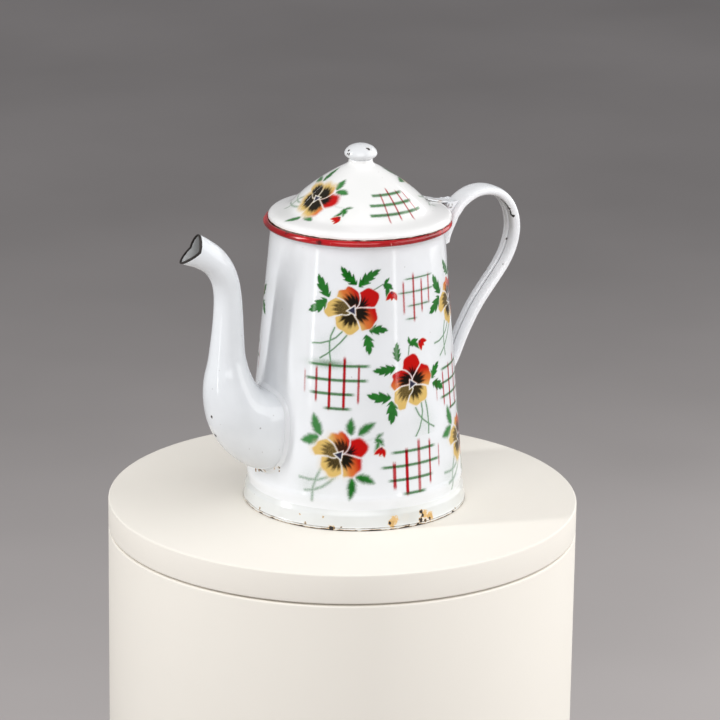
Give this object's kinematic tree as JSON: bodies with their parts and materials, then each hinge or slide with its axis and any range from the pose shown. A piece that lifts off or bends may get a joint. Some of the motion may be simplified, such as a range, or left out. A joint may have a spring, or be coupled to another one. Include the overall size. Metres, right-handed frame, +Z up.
{
  "type": "enamel coffee pot",
  "caption": "Enamelled steel coffee pot with a gooseneck spout, a strap handle and a hinged lid.",
  "frame": {"origin": "middle of the footprint, spout tip to handle, on the plane that the foot stands on", "axes": "+Z up, -X towards the spout, +X towards the handle and the hinge, Y across the pot's plane of symmetry"},
  "size_m": [0.2383, 0.142, 0.2315],
  "materials": {
    "body_shell_finish": "gloss white enamel with stencilled flowers",
    "rim_bead_finish": "gloss red enamel",
    "rim_wire_finish": "bare drawn wire",
    "foot_band_finish": "gloss white enamel, chipped at its lip",
    "bottom_pan_finish": "gloss white enamel",
    "spout_finish": "gloss white enamel",
    "spout_weld_finish": "gloss white enamel",
    "handle_strap_finish": "gloss white enamel",
    "hinge_bracket_finish": "gloss white enamel",
    "hinge_pin_finish": "bare steel",
    "hinge_leaf_finish": "gloss white enamel",
    "lid_shell_finish": "gloss white enamel with stencilled flowers",
    "lid_collar_finish": "gloss white enamel",
    "lid_knob_finish": "gloss white enamel",
    "knob_washer_finish": "bare steel"
  },
  "bodies": {
    "pot": {"body_shell": "body_shell_finish", "rim_bead": "rim_bead_finish", "rim_wire": "rim_wire_finish", "foot_band": "foot_band_finish", "bottom_pan": "bottom_pan_finish", "spout": "spout_finish", "spout_weld": "spout_weld_finish", "handle_strap": "handle_strap_finish", "hinge_bracket": "hinge_bracket_finish", "hinge_pin": "hinge_pin_finish"},
    "lid": {"hinge_leaf": "hinge_leaf_finish", "lid_shell": "lid_shell_finish", "lid_collar": "lid_collar_finish", "lid_knob": "lid_knob_finish", "knob_washer": "knob_washer_finish"}
  },
  "joints": [
    {"name": "lid_hinge", "type": "hinge", "parent": "pot", "child": "lid", "pos_m": [0.06713, 0, 0.1864], "axis": [0, 1, 0], "range_deg": [0, 105]}
  ]
}
